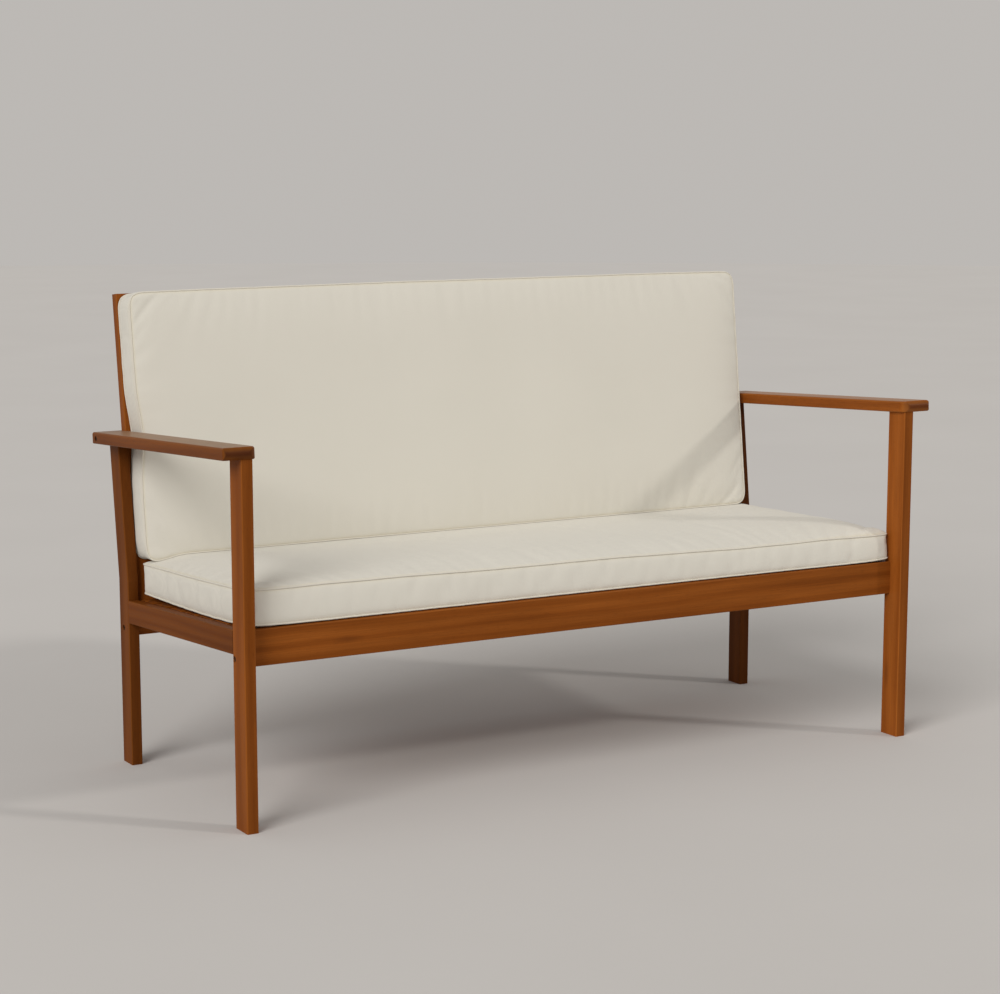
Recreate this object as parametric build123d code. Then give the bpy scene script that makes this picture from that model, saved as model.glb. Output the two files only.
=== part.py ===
from build123d import *
import os
from math import cos, radians, sin, tan

# Patio loveseat: a bolted hardwood frame with sloping arms and seat, a leaning
# slatted back frame, and two loose boxed cushions. Millimetres, +Z up. The front
# faces -Y. X = 0 is the middle plane, Z = 0 the floor, and the origin is below
# the middle of the whole piece.

# Overall sizes
span = 1326.0            # over the outer faces of the legs
arm_front_height = 604.0  # underside of the arm at the front face of the front leg
back_height = 827.0      # top of the back frame
seat_height = 326.0      # seat plane over the middle of the front rail
seat_slope = 3.7         # degrees, falling towards the back
arm_slope = 3.6          # degrees, falling towards the back
back_lean = 7.1          # degrees from upright

# Legs
leg_t = 20.0             # thickness across the seat
front_leg_depth = 46.0
rear_leg_depth = 42.0
rear_leg_y = 502.0       # front face of the rear foot, from the front face of the front leg
knee_height = 330.0      # where the rear leg starts to lean back
leg_ease = 2.0           # radius on the long edges

# Arms
arm_t = 20.0
arm_out = 32.0           # overhang outside the leg
arm_in = 6.0             # overhang inside the leg
arm_nose = 7.0           # overhang in front of the leg
arm_nose_round = 6.0     # depth of the arc that rounds the front end
arm_corner_in = 16.0     # rounded inner front corner
arm_corner = 5.0         # the other corners
arm_ease = 4.0

# Rails
rail_ease = 2.0
front_rail_t = 20.0
front_rail_h = 60.0
front_rail_set = 30.0    # behind the front face of the legs
rear_rail_t = 20.0
rear_rail_h = 60.0
rear_rail_inset = 8.0    # ahead of the back face of the rear legs
rear_rail_drop = 4.0     # below the seat plane
side_rail_h = 40.0

# Seat deck
slat_t = 15.0
slat_w = 50.0
slat_count = 7
slat_ease = 1.5
slat_end_gap = 1.0
deck_front_gap = 6.0     # front rail to the first slat
deck_rear_gap = 12.0     # last slat to the back frame
cleat_w = 20.0
cleat_h = 20.0
bearer_t = 30.0
bearer_h = 45.0

# Back frame
back_t = 20.0
back_set = 12.0          # stile face behind the front face of the leaning leg
stile_w = 45.0
top_rail_h = 60.0
low_rail_h = 45.0
back_slat_w = 40.0
back_slat_t = 12.0
back_slat_count = 9
back_mortise = 10.0
back_ease = 2.0

# Fasteners
bolt_d = 6.0
bolt_head_d = 10.0
bolt_head_h = 6.0
bolt_recess = 8.0        # depth of the counterbore
bolt_socket_d = 5.0
bolt_socket_depth = 3.0
rail_bolt_l = 62.0
rail_bolt_up = 14.0      # above the lower edge of the rail
barrel_d = 10.0
barrel_l = 14.0
barrel_in = 34.0         # from the end of the rail
peg_d = 8.0
peg_l = 36.0
peg_up = 44.0            # above the lower edge of the rail
peg_in_leg = 12.0
side_peg_d = 6.0
side_peg_l = 36.0
side_peg_off = 11.0      # from the middle of the side rail
arm_peg_l = 30.0
arm_peg_in_arm = 13.0
arm_peg_edge = 9.0       # from the leg's front and back faces
arm_bolt_l = 76.0
screw_d = 4.0
screw_head_d = 8.0
screw_head_h = 2.5
slat_screw_l = 30.0
cleat_screw_l = 32.0
cleat_screw_count = 3
back_screw_d = 5.0
back_screw_l = 38.0
back_screw_head_d = 9.0
back_screw_head_h = 4.0
back_screw_sink = 22.0   # counterbore into the stile's inner edge
frame_peg_off = 13.0     # from the middle of a back rail
bearer_peg_in_rail = 12.0
bearer_peg_off = 11.0
fit = 0.2                # added to the diameter of a hole
spare = 1.0              # a blind hole is this much deeper than its peg
cut_over = 2.0           # how far a cutter runs past a face

# Cushions
seat_side_gap = 3.0      # seat cushion to the inner faces of the legs
seat_boxing = 56.0       # height of the sewn side band
seat_crown = 22.0        # how far the stuffed top stands above the band
seat_shoulder = 60.0     # the crown reaches its full height this far in from a seam
back_side_gap = 7.0      # back cushion to the inner faces of the legs
back_boxing = 54.0
back_crown = 9.0
back_cushion_over = 2.0  # corners of the cushion above the back frame
back_top_rise = 3.0      # the middle of its upper edge above the corners
draw_in = 4.0            # how far a long side pulls in between its corners
side_bulge = 3.0         # the band swells between its two seams
cushion_round = 9.0      # rounded ends
core_margin = 11.0       # foam core inside the cover and its wadding
rest = 0.4               # clearance of a soft piece from what carries it
seat_front_set = 2.0     # front seam behind the face of the front rail

# Worked out from the sizes above
inner = span / 2 - leg_t             # inner faces of the legs
seat_cushion_w = 2 * (inner - seat_side_gap)
back_cushion_w = 2 * (inner - back_side_gap)
rail_mid = front_rail_set + front_rail_t / 2
seat_fall = tan(radians(seat_slope))
arm_fall = tan(radians(arm_slope))
lean = tan(radians(back_lean))
rear_leg_back = rear_leg_y + rear_leg_depth


def seat_line(y):
    """Height of the seat plane at a distance behind the front face of the legs."""
    return seat_height - seat_fall * (y - rail_mid)


def arm_line(y):
    """Height of the arm's underside."""
    return arm_front_height - arm_fall * y


# where the leaning back face of the rear leg meets the arm's underside
arm_back_y = rear_leg_back + lean * (arm_front_height - knee_height)
arm_back_y = arm_back_y / (1 + lean * arm_fall)
arm_back_z = arm_line(arm_back_y)
arm_face_y = rear_leg_y + lean * (arm_front_height - knee_height)
arm_face_y = arm_face_y / (1 + lean * arm_fall)

back_y = rear_leg_y + back_set       # stile's front face at the knee
back_top_local = (back_height - knee_height) / cos(radians(back_lean))
deepest_y = back_y + back_top_local * sin(radians(back_lean)) + back_t * cos(radians(back_lean))
nose_radius = (arm_t * arm_t / 4 + arm_nose_round * arm_nose_round) / (2 * arm_nose_round)
foremost_y = (nose_radius - arm_nose) * cos(radians(arm_slope)) - nose_radius
foremost_y = foremost_y + arm_t / 2 * sin(radians(arm_slope))
middle_y = (deepest_y + foremost_y) / 2

front_rail_back = front_rail_set + front_rail_t
front_rail_top = seat_line(front_rail_back)
front_rail_low = front_rail_top - front_rail_h
rear_rail_back = rear_leg_back - rear_rail_inset
rear_rail_face = rear_rail_back - rear_rail_t
rear_rail_mid = rear_rail_face + rear_rail_t / 2
rear_rail_top = seat_line(rear_rail_mid) - rear_rail_drop
rear_rail_low = rear_rail_top - rear_rail_h

# Working planes: the seat plane over the front rail, and the front of the back frame
seat_plane = Plane(
    origin=(0, rail_mid, seat_height),
    x_dir=(1, 0, 0),
    z_dir=(0, sin(radians(seat_slope)), cos(radians(seat_slope))),
)
back_plane = Plane(
    origin=(0, back_y, knee_height),
    x_dir=(1, 0, 0),
    z_dir=(0, sin(radians(back_lean)), cos(radians(back_lean))),
)
arm_plane = Plane(
    origin=(0, 0, arm_front_height),
    x_dir=(1, 0, 0),
    z_dir=(0, sin(radians(arm_slope)), cos(radians(arm_slope))),
)


def block(x0, x1, y0, y1, z0, z1):
    """A plain block between two corners."""
    size = Box(x1 - x0, y1 - y0, z1 - z0)
    return Pos((x0 + x1) / 2, (y0 + y1) / 2, (z0 + z1) / 2) * size


def eased(board, axis, radius):
    """Rounds the four long edges of a board."""
    return fillet(board.edges().filter_by(axis), radius)


def board_x(x0, x1, y0, y1, z0, z1, radius):
    return eased(block(x0, x1, y0, y1, z0, z1), Axis.X, radius)


def board_z(x0, x1, y0, y1, z0, z1, radius):
    return eased(block(x0, x1, y0, y1, z0, z1), Axis.Z, radius)


def side_profile(points, x0, x1):
    """A board cut to an outline seen from the side, between two X planes."""
    face = make_face(Polyline(*points, close=True))
    return Pos(x0, 0, 0) * extrude(Plane.YZ * face, amount=x1 - x0)


def rod_x(x0, x1, y, z, d):
    """A rod along X from x0 to x1."""
    rod = Cylinder(d / 2, abs(x1 - x0))
    return Pos((x0 + x1) / 2, y, z) * Rot(0, 90, 0) * rod


def rod_y(x, y0, y1, z, d):
    rod = Cylinder(d / 2, abs(y1 - y0))
    return Pos(x, (y0 + y1) / 2, z) * Rot(90, 0, 0) * rod


def rod_z(x, y, z0, z1, d):
    rod = Cylinder(d / 2, abs(z1 - z0))
    return Pos(x, y, (z0 + z1) / 2) * rod


def both(half):
    """A left piece and its mirror image on the right."""
    return half, mirror(half, about=Plane.YZ)


# Fastener places. x is given for the left side and mirrored for the right.
outer_left = -span / 2
inner_left = -inner


def rail_bolt(y, z):
    """Socket-head bolt through the leg into the end of a rail, with its head recessed."""
    seat = outer_left + bolt_recess
    head = rod_x(seat - bolt_head_h, seat, y, z, bolt_head_d)
    head -= rod_x(seat - bolt_head_h, seat - bolt_head_h + bolt_socket_depth, y, z, bolt_socket_d)
    return head + rod_x(seat, seat + rail_bolt_l, y, z, bolt_d)


def rail_bolt_hole(y, z):
    seat = outer_left + bolt_recess
    bore = rod_x(outer_left - cut_over, seat, y, z, bolt_head_d + fit)
    return bore + rod_x(seat - spare, seat + rail_bolt_l + spare, y, z, bolt_d + fit)


def barrel(y, z, d, over):
    """Cross dowel in a rail, pushed in from the rail's hidden face along Y."""
    x = inner_left + barrel_in
    return rod_y(x, y - barrel_l / 2, y + over, z, d)


def rail_joint(y, rail_low):
    """Bolt, barrel nut and peg of one end of a rail, and their holes."""
    z_bolt = rail_low + rail_bolt_up
    z_peg = rail_low + peg_up
    peg_x = inner_left - peg_in_leg
    shank = rod_x(outer_left, outer_left + bolt_recess + rail_bolt_l + spare, y, z_bolt, bolt_d)
    nut = barrel(y, z_bolt, barrel_d, barrel_l / 2) - shank
    peg = rod_x(peg_x, peg_x + peg_l, y, z_peg, peg_d)
    peg_hole = rod_x(peg_x - spare, peg_x + peg_l + spare, y, z_peg, peg_d + fit)
    return rail_bolt(y, z_bolt), nut, peg, rail_bolt_hole(y, z_bolt) + peg_hole


front_bolt, front_nut, front_peg, front_joint_holes = rail_joint(rail_mid, front_rail_low)
rear_bolt, rear_nut, rear_peg, rear_joint_holes = rail_joint(rear_rail_mid, rear_rail_low)
front_nut_hole = barrel(
    rail_mid, front_rail_low + rail_bolt_up, barrel_d + fit, front_rail_t / 2 + cut_over
)
rear_nut_hole = barrel(
    rear_rail_mid, rear_rail_low + rail_bolt_up, barrel_d + fit, rear_rail_t / 2 + cut_over
)

leg_mid_x = outer_left + leg_t / 2


def side_pegs(d, extra):
    """Pegs between the side rail and both legs."""
    pegs = []
    for y in (front_leg_depth, rear_leg_y):
        z = seat_line(y) - side_rail_h / 2
        for off in (-side_peg_off, side_peg_off):
            half = side_peg_l / 2 + extra
            pegs.append(rod_y(leg_mid_x, y - half, y + half, z + off, d))
    return pegs


def arm_pegs(d, extra):
    """Pegs between the arm and the tops of both legs."""
    pegs = []
    for y0, y1 in ((0, front_leg_depth), (arm_face_y, arm_back_y)):
        for y in (y0 + arm_peg_edge, y1 - arm_peg_edge):
            top = arm_line(y) + arm_peg_in_arm + extra
            low = arm_line(y) + arm_peg_in_arm - arm_peg_l - extra
            pegs.append(rod_z(leg_mid_x, y, low, top, d))
    return pegs


side_peg_holes = side_pegs(side_peg_d + fit, spare)
arm_peg_holes = arm_pegs(peg_d + fit, spare)

# the arm bolt passes through the arm's edge into the middle of the stile
arm_bolt_z = arm_back_z + arm_t / 2
arm_bolt_y = back_y + lean * (arm_bolt_z - knee_height) + back_t / 2
arm_edge = outer_left - arm_out
arm_bolt_seat = arm_edge + bolt_recess


def arm_bolt():
    head = rod_x(arm_bolt_seat - bolt_head_h, arm_bolt_seat, arm_bolt_y, arm_bolt_z, bolt_head_d)
    socket_end = arm_bolt_seat - bolt_head_h + bolt_socket_depth
    head -= rod_x(arm_bolt_seat - bolt_head_h, socket_end, arm_bolt_y, arm_bolt_z, bolt_socket_d)
    return head + rod_x(arm_bolt_seat, arm_bolt_seat + arm_bolt_l, arm_bolt_y, arm_bolt_z, bolt_d)


def arm_bolt_hole():
    bore = rod_x(arm_edge - cut_over, arm_bolt_seat, arm_bolt_y, arm_bolt_z, bolt_head_d + fit)
    end = arm_bolt_seat + arm_bolt_l + spare
    return bore + rod_x(arm_bolt_seat - spare, end, arm_bolt_y, arm_bolt_z, bolt_d + fit)


# Back frame sizes in its own plane: x across, y through the board, z up the lean
stile_foot = (rear_rail_top - knee_height + rest) / cos(radians(back_lean))
stile_foot = stile_foot + back_t * lean
top_rail_low = back_top_local - top_rail_h
low_rail_top = stile_foot + low_rail_h
stile_in = inner - stile_w
back_screw_levels = (low_rail_top + stile_w / 2, (low_rail_top + back_top_local) / 3)


def back_screw(z):
    """Screw from the stile's inner edge into the leg, sunk in a counterbore."""
    head_x = -stile_in - back_screw_sink
    shank = rod_x(head_x - back_screw_l, head_x, back_t / 2, z, back_screw_d)
    head = rod_x(head_x, head_x + back_screw_head_h, back_t / 2, z, back_screw_head_d)
    return back_plane * (shank + head)


def back_screw_hole(z):
    head_x = -stile_in - back_screw_sink
    shank = rod_x(head_x - back_screw_l - spare, head_x + spare, back_t / 2, z, back_screw_d + fit)
    bore = rod_x(head_x, -stile_in + cut_over, back_t / 2, z, back_screw_head_d + fit)
    return back_plane * (shank + bore)


def frame_pegs(d, extra):
    """Pegs between the stile and the top and bottom rails of the back frame."""
    pegs = []
    for mid in ((top_rail_low + back_top_local) / 2, (stile_foot + low_rail_top) / 2):
        for off in (-frame_peg_off, frame_peg_off):
            half = peg_l / 2 + extra
            peg = rod_x(-stile_in - half, -stile_in + half, back_t / 2, mid + off, d)
            pegs.append(back_plane * peg)
    return pegs


frame_peg_holes = frame_pegs(peg_d + fit, spare)
back_screw_holes = [back_screw_hole(z) for z in back_screw_levels]


def front_leg():
    outline = [
        (0, 0),
        (front_leg_depth, 0),
        (front_leg_depth, arm_line(front_leg_depth)),
        (0, arm_line(0)),
    ]
    leg = side_profile(outline, outer_left, inner_left)
    leg = eased(leg, Axis.Z, leg_ease)
    for hole in side_peg_holes[:2] + arm_peg_holes[:2]:
        leg -= hole
    return leg - front_joint_holes


def rear_leg():
    outline = [
        (rear_leg_y, 0),
        (rear_leg_back, 0),
        (rear_leg_back, knee_height),
        (arm_back_y, arm_back_z),
        (arm_face_y, arm_line(arm_face_y)),
        (rear_leg_y, knee_height),
    ]
    leg = side_profile(outline, outer_left, inner_left)
    long_ones = []
    for edge in leg.edges().filter_by(Axis.X, reverse=True):
        if edge.bounding_box().size.Z > rear_leg_depth:
            long_ones.append(edge)
    leg = fillet(long_ones, leg_ease)
    for hole in side_peg_holes[2:] + arm_peg_holes[2:] + back_screw_holes:
        leg -= hole
    return leg - rear_joint_holes


def side_rail():
    drop = side_rail_h / cos(radians(seat_slope))
    outline = [
        (front_leg_depth, seat_line(front_leg_depth) - drop),
        (rear_leg_y, seat_line(rear_leg_y) - drop),
        (rear_leg_y, seat_line(rear_leg_y)),
        (front_leg_depth, seat_line(front_leg_depth)),
    ]
    rail = side_profile(outline, outer_left, inner_left)
    long_ones = []
    for edge in rail.edges().filter_by(Axis.X, reverse=True):
        if edge.bounding_box().size.Y > side_rail_h:
            long_ones.append(edge)
    rail = fillet(long_ones, rail_ease)
    for hole in side_peg_holes + cleat_screw_cutters:
        rail -= hole
    return rail


def arm():
    """Flat arm on top of both legs, with a round nose, a rounded inner front corner
    and a housing at the back that the stile of the back frame passes through."""
    x0 = arm_edge
    x1 = inner_left + arm_in
    y0 = -arm_nose
    y1 = arm_back_y / cos(radians(arm_slope))
    plank = block(x0, x1, y0, y1, 0, arm_t)
    upright = plank.edges().filter_by(Axis.Z)
    front_in = upright.sort_by(Axis.X)[-2:].sort_by(Axis.Y)[0]
    others = [edge for edge in upright if edge != front_in]
    plank = fillet([front_in], arm_corner_in)
    corners = plank.edges().filter_by(Axis.Z).filter_by(lambda e: is_sharp(e, x0, y0, y1, x1))
    plank = fillet(corners, arm_corner)
    plank = fillet(plank.faces().sort_by(Axis.Z)[-1].edges(), arm_ease)
    plank = fillet(plank.faces().sort_by(Axis.Z)[0].edges(), arm_ease / 2)
    y_flat = y0 + arm_nose_round
    nose = ThreePointArc((y_flat, 0), (y0, arm_t / 2), (y_flat, arm_t))
    nose = make_face(nose + Line((y_flat, arm_t), (y_flat, 0)))
    nose = extrude(Plane.YZ * nose, amount=x1 - x0 + 4 * cut_over)
    front = block(
        x0 - cut_over, x1 + cut_over, y0 - cut_over, y_flat, -cut_over, arm_t + cut_over
    )
    plank -= front - Pos(x0 - 2 * cut_over, 0, 0) * nose
    plank = arm_plane * plank
    housing = block(-inner - rest, -stile_in, -rest, back_t + rest, 0, back_top_local)
    plank -= back_plane * housing
    for hole in arm_peg_holes:
        plank -= hole
    return plank - arm_bolt_hole()


def is_sharp(edge, x0, y0, y1, x1):
    """True for an upright edge that still lies at a corner of the plank."""
    place = edge.center()
    near = arm_corner / 2
    at_side = min(abs(place.X - x0), abs(place.X - x1)) < near
    at_end = min(abs(place.Y - y0), abs(place.Y - y1)) < near
    return at_side and at_end


def cross_rail(y0, y1, low, top, holes, nut_hole):
    rail = board_x(-inner, inner, y0, y1, low, top, rail_ease)
    for hole in (holes, nut_hole):
        rail -= hole
        rail -= mirror(hole, about=Plane.YZ)
    return rail - bearer_peg_holes[0] - bearer_peg_holes[1]


# Seat deck, in the seat plane: y runs back down the slope from the front rail
deck_front = (front_rail_t / 2 + deck_front_gap) / cos(radians(seat_slope))
back_face_at_seat = back_y - lean * (knee_height - seat_line(back_y))
deck_rear = (back_face_at_seat - rail_mid - deck_rear_gap) / cos(radians(seat_slope))
slat_pitch = (deck_rear - deck_front - slat_w) / (slat_count - 1)
slat_places = [deck_front + slat_pitch * i for i in range(slat_count)]
slat_half = inner - slat_end_gap
cleat_front = (front_rail_t / 2 + rest) / cos(radians(seat_slope)) + (slat_t + cleat_h) * seat_fall
cleat_rear = slat_places[-1] + slat_w


def screw(length, d, head_d, head_h):
    """Countersunk screw pointing down from a head at z = 0."""
    head = Pos(0, 0, -head_h / 2) * Cone(d / 2, head_d / 2, head_h)
    return head + rod_z(0, 0, -length, -head_h, d)


def slat_screw_places(i):
    """Three screws through one slat: into both cleats and the centre bearer."""
    y = slat_places[i] + slat_w / 2
    return [(x, y) for x in (-inner + cleat_w / 2, 0, inner - cleat_w / 2)]


def slat_screws(grow, extra):
    out = []
    for i in range(slat_count):
        for x, y in slat_screw_places(i):
            one = screw(slat_screw_l + extra, screw_d + grow, screw_head_d + grow, screw_head_h)
            out.append(seat_plane * Pos(x, y, 0) * one)
    return out


slat_screw_holes = slat_screws(fit, spare)


def cleat_screws(grow, extra):
    """Screws from the inner face of the cleat into the side rail, in gaps between slats."""
    out = []
    for i in range(cleat_screw_count):
        y = slat_places[2 * i + 1] - (slat_pitch - slat_w) / 2
        one = screw(cleat_screw_l + extra, screw_d + grow, screw_head_d + grow, screw_head_h)
        place = Pos(-inner + cleat_w, y, -slat_t - cleat_h / 2) * Rot(0, 90, 0)
        out.append(seat_plane * place * one)
    return out


cleat_screw_cutters = cleat_screws(fit, spare)


def bearer_pegs(d, extra):
    """Pegs between the centre bearer and the front and rear rails, two at each end."""
    front = []
    rear = []
    for off in (-bearer_peg_off, bearer_peg_off):
        mid = seat_line(front_rail_back) - slat_t - bearer_h / 2 + off
        y = front_rail_back - bearer_peg_in_rail
        front.append(rod_y(0, y - extra, y + peg_l + extra, mid, d))
        mid = seat_line(rear_rail_face) - slat_t - bearer_h / 2 + off
        y = rear_rail_face + bearer_peg_in_rail
        rear.append(rod_y(0, y - peg_l - extra, y + extra, mid, d))
    return front + rear


all_bearer_peg_holes = bearer_pegs(peg_d + fit, spare)
bearer_peg_holes = all_bearer_peg_holes[:2]


def centre_bearer():
    drop = slat_t / cos(radians(seat_slope))
    outline = [
        (front_rail_back, seat_line(front_rail_back) - drop - bearer_h),
        (rear_rail_face, seat_line(rear_rail_face) - drop - bearer_h),
        (rear_rail_face, seat_line(rear_rail_face) - drop),
        (front_rail_back, seat_line(front_rail_back) - drop),
    ]
    bearer = side_profile(outline, -bearer_t / 2, bearer_t / 2)
    for hole in all_bearer_peg_holes + slat_screw_holes[1::3]:
        bearer -= hole
    return bearer


def cleat():
    strip = block(-inner, -inner + cleat_w, cleat_front, cleat_rear, -slat_t - cleat_h, -slat_t)
    strip = seat_plane * strip
    for hole in cleat_screw_cutters + slat_screw_holes[0::3]:
        strip -= hole
    return strip


def seat_slat(i):
    y = slat_places[i]
    slat = board_x(-slat_half, slat_half, y, y + slat_w, -slat_t, 0, slat_ease)
    slat = seat_plane * slat
    for hole in slat_screw_holes[3 * i:3 * i + 3]:
        slat -= hole
    return slat


# Back frame
clear_w = 2 * stile_in
back_slat_gap = (clear_w - back_slat_count * back_slat_w) / (back_slat_count + 1)
back_slat_y0 = (back_t - back_slat_t) / 2
back_slat_places = [
    -stile_in + back_slat_gap + i * (back_slat_w + back_slat_gap) for i in range(back_slat_count)
]


def stile():
    post = board_z(-inner, -stile_in, 0, back_t, stile_foot, back_top_local, back_ease)
    post = back_plane * post
    for hole in frame_peg_holes + back_screw_holes:
        post -= hole
    return post - arm_bolt_hole()


def back_rail(low, top, mortise_low, mortise_top):
    """A rail between the stiles, with a row of mortises for the slats."""
    rail = board_x(-stile_in, stile_in, 0, back_t, low, top, back_ease)
    for x in back_slat_places:
        y0 = back_slat_y0 - fit / 2
        y1 = back_slat_y0 + back_slat_t + fit / 2
        rail -= block(x - fit / 2, x + back_slat_w + fit / 2, y0, y1, mortise_low, mortise_top)
    rail = back_plane * rail
    for hole in frame_peg_holes:
        rail -= hole
        rail -= mirror(hole, about=Plane.YZ)
    return rail


def back_slat(i):
    x = back_slat_places[i]
    low = low_rail_top - back_mortise
    top = top_rail_low + back_mortise
    y1 = back_slat_y0 + back_slat_t
    slat = board_z(x, x + back_slat_w, back_slat_y0, y1, low, top, slat_ease)
    return back_plane * slat


# Cushions. Each is lofted along X through closed outlines: swelling bands at the
# seams, a crowned face, and a flat side where the cushion rests.
station_shares = (-1.0, -0.5, 0.0, 0.5, 1.0)
crown_shares = (0.35, 0.9, 1.0, 0.9, 0.35)
draw_shares = (0.0, 0.8, 1.0, 0.8, 0.0)


def lofted_cushion(width, outline_at):
    """Lofts the outlines from end to end and rounds both ends."""
    faces = []
    for station, crown, draw in zip(station_shares, crown_shares, draw_shares):
        x = station * width / 2
        faces.append(Pos(x, 0, 0) * (Plane.YZ * outline_at(crown, draw)))
    body = loft(faces)
    ends = body.faces().sort_by(Axis.X)
    return fillet(ends[0].edges() + ends[-1].edges(), cushion_round)


seat_depth_front = seat_front_set - front_rail_t / 2 + side_bulge
seat_depth_rear = deck_rear + deck_rear_gap - side_bulge - rest
seat_cushion_low = rest


def seat_outline(crown, draw):
    """Section of the seat cushion: flat below, crowned above, with swelling bands."""
    y0 = seat_depth_front + draw * draw_in
    y1 = seat_depth_rear - draw * draw_in / 2
    z0 = seat_cushion_low
    z1 = z0 + seat_boxing
    mid_z = (z0 + z1) / 2
    top = z1 + crown * seat_crown
    low = Line((y0, z0), (y1, z0))
    rear = ThreePointArc((y1, z0), (y1 + side_bulge, mid_z), (y1, z1))
    rear_shoulder = TangentArc((y1 - seat_shoulder, top), (y1, z1), tangent=(1, 0))
    high = Line((y1 - seat_shoulder, top), (y0 + seat_shoulder, top))
    front_shoulder = TangentArc((y0 + seat_shoulder, top), (y0, z1), tangent=(-1, 0))
    front = ThreePointArc((y0, z1), (y0 - side_bulge, mid_z), (y0, z0))
    return make_face(low + rear + rear_shoulder + high + front_shoulder + front)


def seat_core():
    """Foam block of the seat cushion."""
    half = seat_cushion_w / 2 - core_margin
    y0 = seat_depth_front + draw_in + core_margin / 2
    y1 = seat_depth_rear - draw_in / 2 - core_margin / 2
    z0 = seat_cushion_low + core_margin / 3
    return block(-half, half, y0, y1, z0, seat_cushion_low + seat_boxing - core_margin / 3)


def seat_cushion():
    body = lofted_cushion(seat_cushion_w, seat_outline)
    return seat_plane * (body - seat_core())


# The back cushion stands on the rear of the seat cushion: its lower front edge
# meets the top of the seat's crown.
seat_top_y = back_y - back_boxing
seat_top_z = seat_line(seat_top_y)
seat_top_z = seat_top_z + (rest + seat_boxing + seat_crown) / cos(radians(seat_slope))
foot_lift = back_boxing * lean
back_cushion_low = (seat_top_z - knee_height + rest) / cos(radians(back_lean)) - foot_lift
back_cushion_top = back_top_local + back_cushion_over - side_bulge


def back_outline(crown, draw):
    """Section of the back cushion: y is its thickness, ahead of the back frame. It is
    flat below, where it stands, and its upper edge rises a little to the middle."""
    z0 = back_cushion_low
    z1 = back_cushion_top + draw * back_top_rise
    mid_y = -rest - back_boxing / 2
    low = Line((-rest, z0), (-rest - back_boxing, z0))
    swell = -rest - back_boxing - crown * back_crown
    face = ThreePointArc((-rest - back_boxing, z0), (swell, (z0 + z1) / 2), (-rest - back_boxing, z1))
    high = ThreePointArc((-rest - back_boxing, z1), (mid_y, z1 + side_bulge), (-rest, z1))
    rear = Line((-rest, z1), (-rest, z0))
    return make_face(low + face + high + rear)


def back_core():
    """Foam block of the back cushion."""
    half = back_cushion_w / 2 - core_margin
    z0 = back_cushion_low + core_margin
    z1 = back_cushion_top - core_margin
    y0 = -rest - back_boxing + core_margin / 3
    return block(-half, half, y0, -rest - core_margin / 3, z0, z1)


def back_cushion():
    body = lofted_cushion(back_cushion_w, back_outline)
    return back_plane * (body - back_core())


def grouped(pieces):
    """Several separate solids in one node."""
    return Compound([solid for piece in pieces for solid in piece.solids()])


def make_nodes():
    nodes = {}
    for name, half in (
        ("front_leg", front_leg()),
        ("rear_leg", rear_leg()),
        ("side_rail", side_rail()),
        ("arm", arm()),
        ("seat_cleat", cleat()),
        ("back_stile", stile()),
    ):
        nodes[name + "_left"], nodes[name + "_right"] = both(half)
    nodes["front_rail"] = cross_rail(
        front_rail_set, front_rail_back, front_rail_low, front_rail_top,
        front_joint_holes, front_nut_hole,
    )
    nodes["rear_rail"] = cross_rail(
        rear_rail_face, rear_rail_back, rear_rail_low, rear_rail_top,
        rear_joint_holes, rear_nut_hole,
    )
    nodes["rear_rail"] = nodes["rear_rail"] - all_bearer_peg_holes[2] - all_bearer_peg_holes[3]
    nodes["centre_bearer"] = centre_bearer()
    for i in range(slat_count):
        nodes[f"seat_slat_{i + 1}"] = seat_slat(i)
    nodes["back_top_rail"] = back_rail(
        top_rail_low, back_top_local, top_rail_low - cut_over, top_rail_low + back_mortise + spare
    )
    nodes["back_bottom_rail"] = back_rail(
        stile_foot, low_rail_top, low_rail_top - back_mortise - spare, low_rail_top + cut_over
    )
    for i in range(back_slat_count):
        nodes[f"back_slat_{i + 1}"] = back_slat(i)
    left_sets = {
        "rail_bolts": [front_bolt, rear_bolt],
        "barrel_nuts": [front_nut, rear_nut],
        "rail_pegs": [front_peg, rear_peg],
        "side_rail_pegs": side_pegs(side_peg_d, 0),
        "arm_pegs": arm_pegs(peg_d, 0),
        "arm_bolts": [arm_bolt()],
        "back_frame_screws": [back_screw(z) for z in back_screw_levels],
        "back_frame_pegs": frame_pegs(peg_d, 0),
        "cleat_screws": cleat_screws(0, 0),
    }
    for name, left in left_sets.items():
        nodes[name] = grouped(left + [mirror(piece, about=Plane.YZ) for piece in left])
    nodes["bearer_pegs"] = grouped(bearer_pegs(peg_d, 0))
    nodes["slat_screws"] = grouped(slat_screws(0, 0))
    nodes["seat_cushion"] = seat_cushion()
    nodes["seat_cushion_foam"] = seat_plane * seat_core()
    nodes["back_cushion"] = back_cushion()
    nodes["back_cushion_foam"] = back_plane * back_core()
    return nodes


os.makedirs("parts", exist_ok=True)
to_origin = Pos(0, -middle_y, 0)
for node, shape in make_nodes().items():
    export_step(to_origin * shape, f"parts/{node}.step")
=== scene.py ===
from math import atan2, copysign, cos, exp, hypot, radians, sin, tanh

import bpy
from mathutils import Euler, Matrix, Vector, noise


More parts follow.
